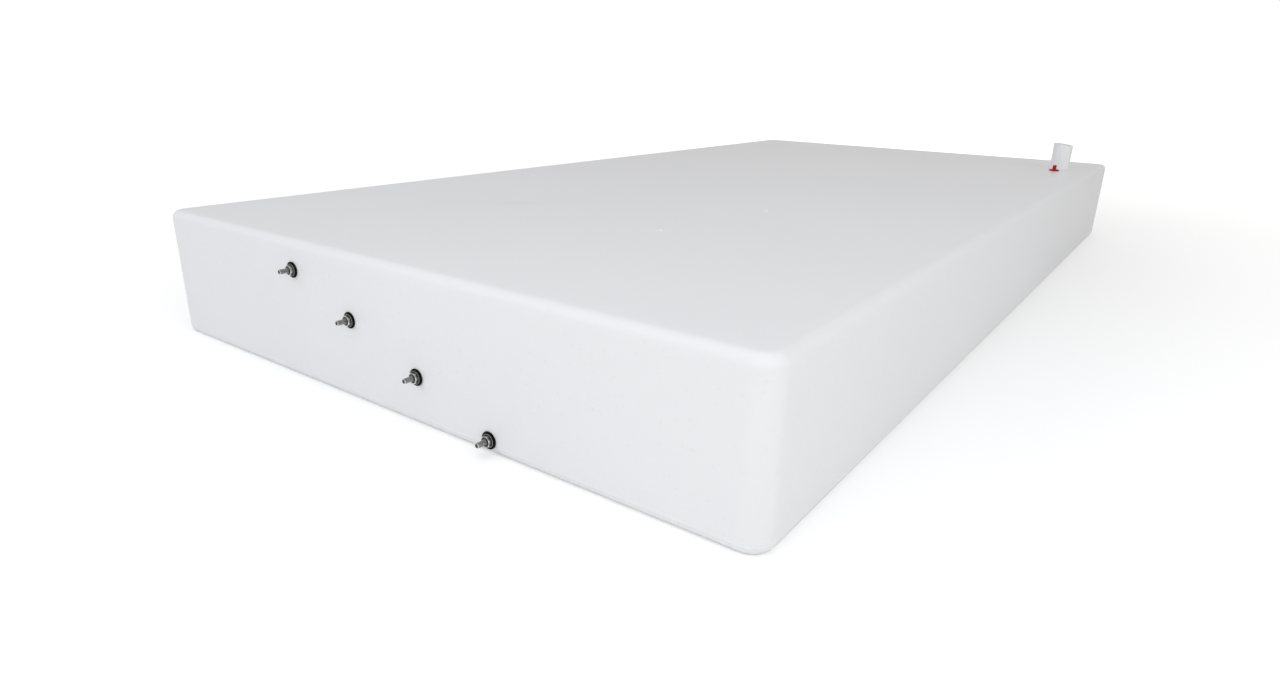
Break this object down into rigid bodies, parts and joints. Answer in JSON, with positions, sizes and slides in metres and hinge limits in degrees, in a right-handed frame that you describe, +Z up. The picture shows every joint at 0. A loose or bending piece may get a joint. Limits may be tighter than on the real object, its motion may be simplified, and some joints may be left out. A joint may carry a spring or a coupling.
{
  "type": "fresh water tank",
  "caption": "Flat rotomoulded fresh water tank with an open fill spout, a plugged vent, an outlet and water-level probes.",
  "frame": {"origin": "centre of the shell's flat bottom face", "axes": "+X across the tank's 31 in width, +Y along its 60 in length from the probe end to the outlet end, +Z up"},
  "size_m": [0.7874, 1.5566, 0.1951],
  "materials": {
    "natural_polyethylene": "satin, slightly translucent, faint moulded texture",
    "red_plastic": "semi-gloss",
    "rubber": "matt black",
    "stainless": "bright, machined"
  },
  "bodies": {
    "tank": {"tank_shell": "natural_polyethylene", "fill_spout": "natural_polyethylene", "outlet_fitting": "natural_polyethylene", "vent_insert": "natural_polyethylene", "drain_insert": "natural_polyethylene", "bolt_full": "stainless", "bolt_two_thirds": "stainless", "bolt_one_third": "stainless", "bolt_empty": "stainless", "inner_washer_full": "stainless", "inner_washer_two_thirds": "stainless", "inner_washer_one_third": "stainless", "inner_washer_empty": "stainless", "inner_seal_full": "rubber", "inner_seal_two_thirds": "rubber", "inner_seal_one_third": "rubber", "inner_seal_empty": "rubber", "outer_seal_full": "rubber", "outer_seal_two_thirds": "rubber", "outer_seal_one_third": "rubber", "outer_seal_empty": "rubber", "washer_full": "stainless", "washer_two_thirds": "stainless", "washer_one_third": "stainless", "washer_empty": "stainless", "nut_full": "stainless", "nut_two_thirds": "stainless", "nut_one_third": "stainless", "nut_empty": "stainless"},
    "vent_plug": {"vent_plug": "red_plastic"},
    "drain_plug": {"drain_plug": "red_plastic"}
  },
  "joints": [
    {"name": "vent_plug_pull", "type": "slide", "parent": "tank", "child": "vent_plug", "axis": [0, 0, 1], "range_m": [0, 0.04]},
    {"name": "drain_plug_pull", "type": "slide", "parent": "tank", "child": "drain_plug", "axis": [0, 1, 0], "range_m": [0, 0.04]}
  ]
}
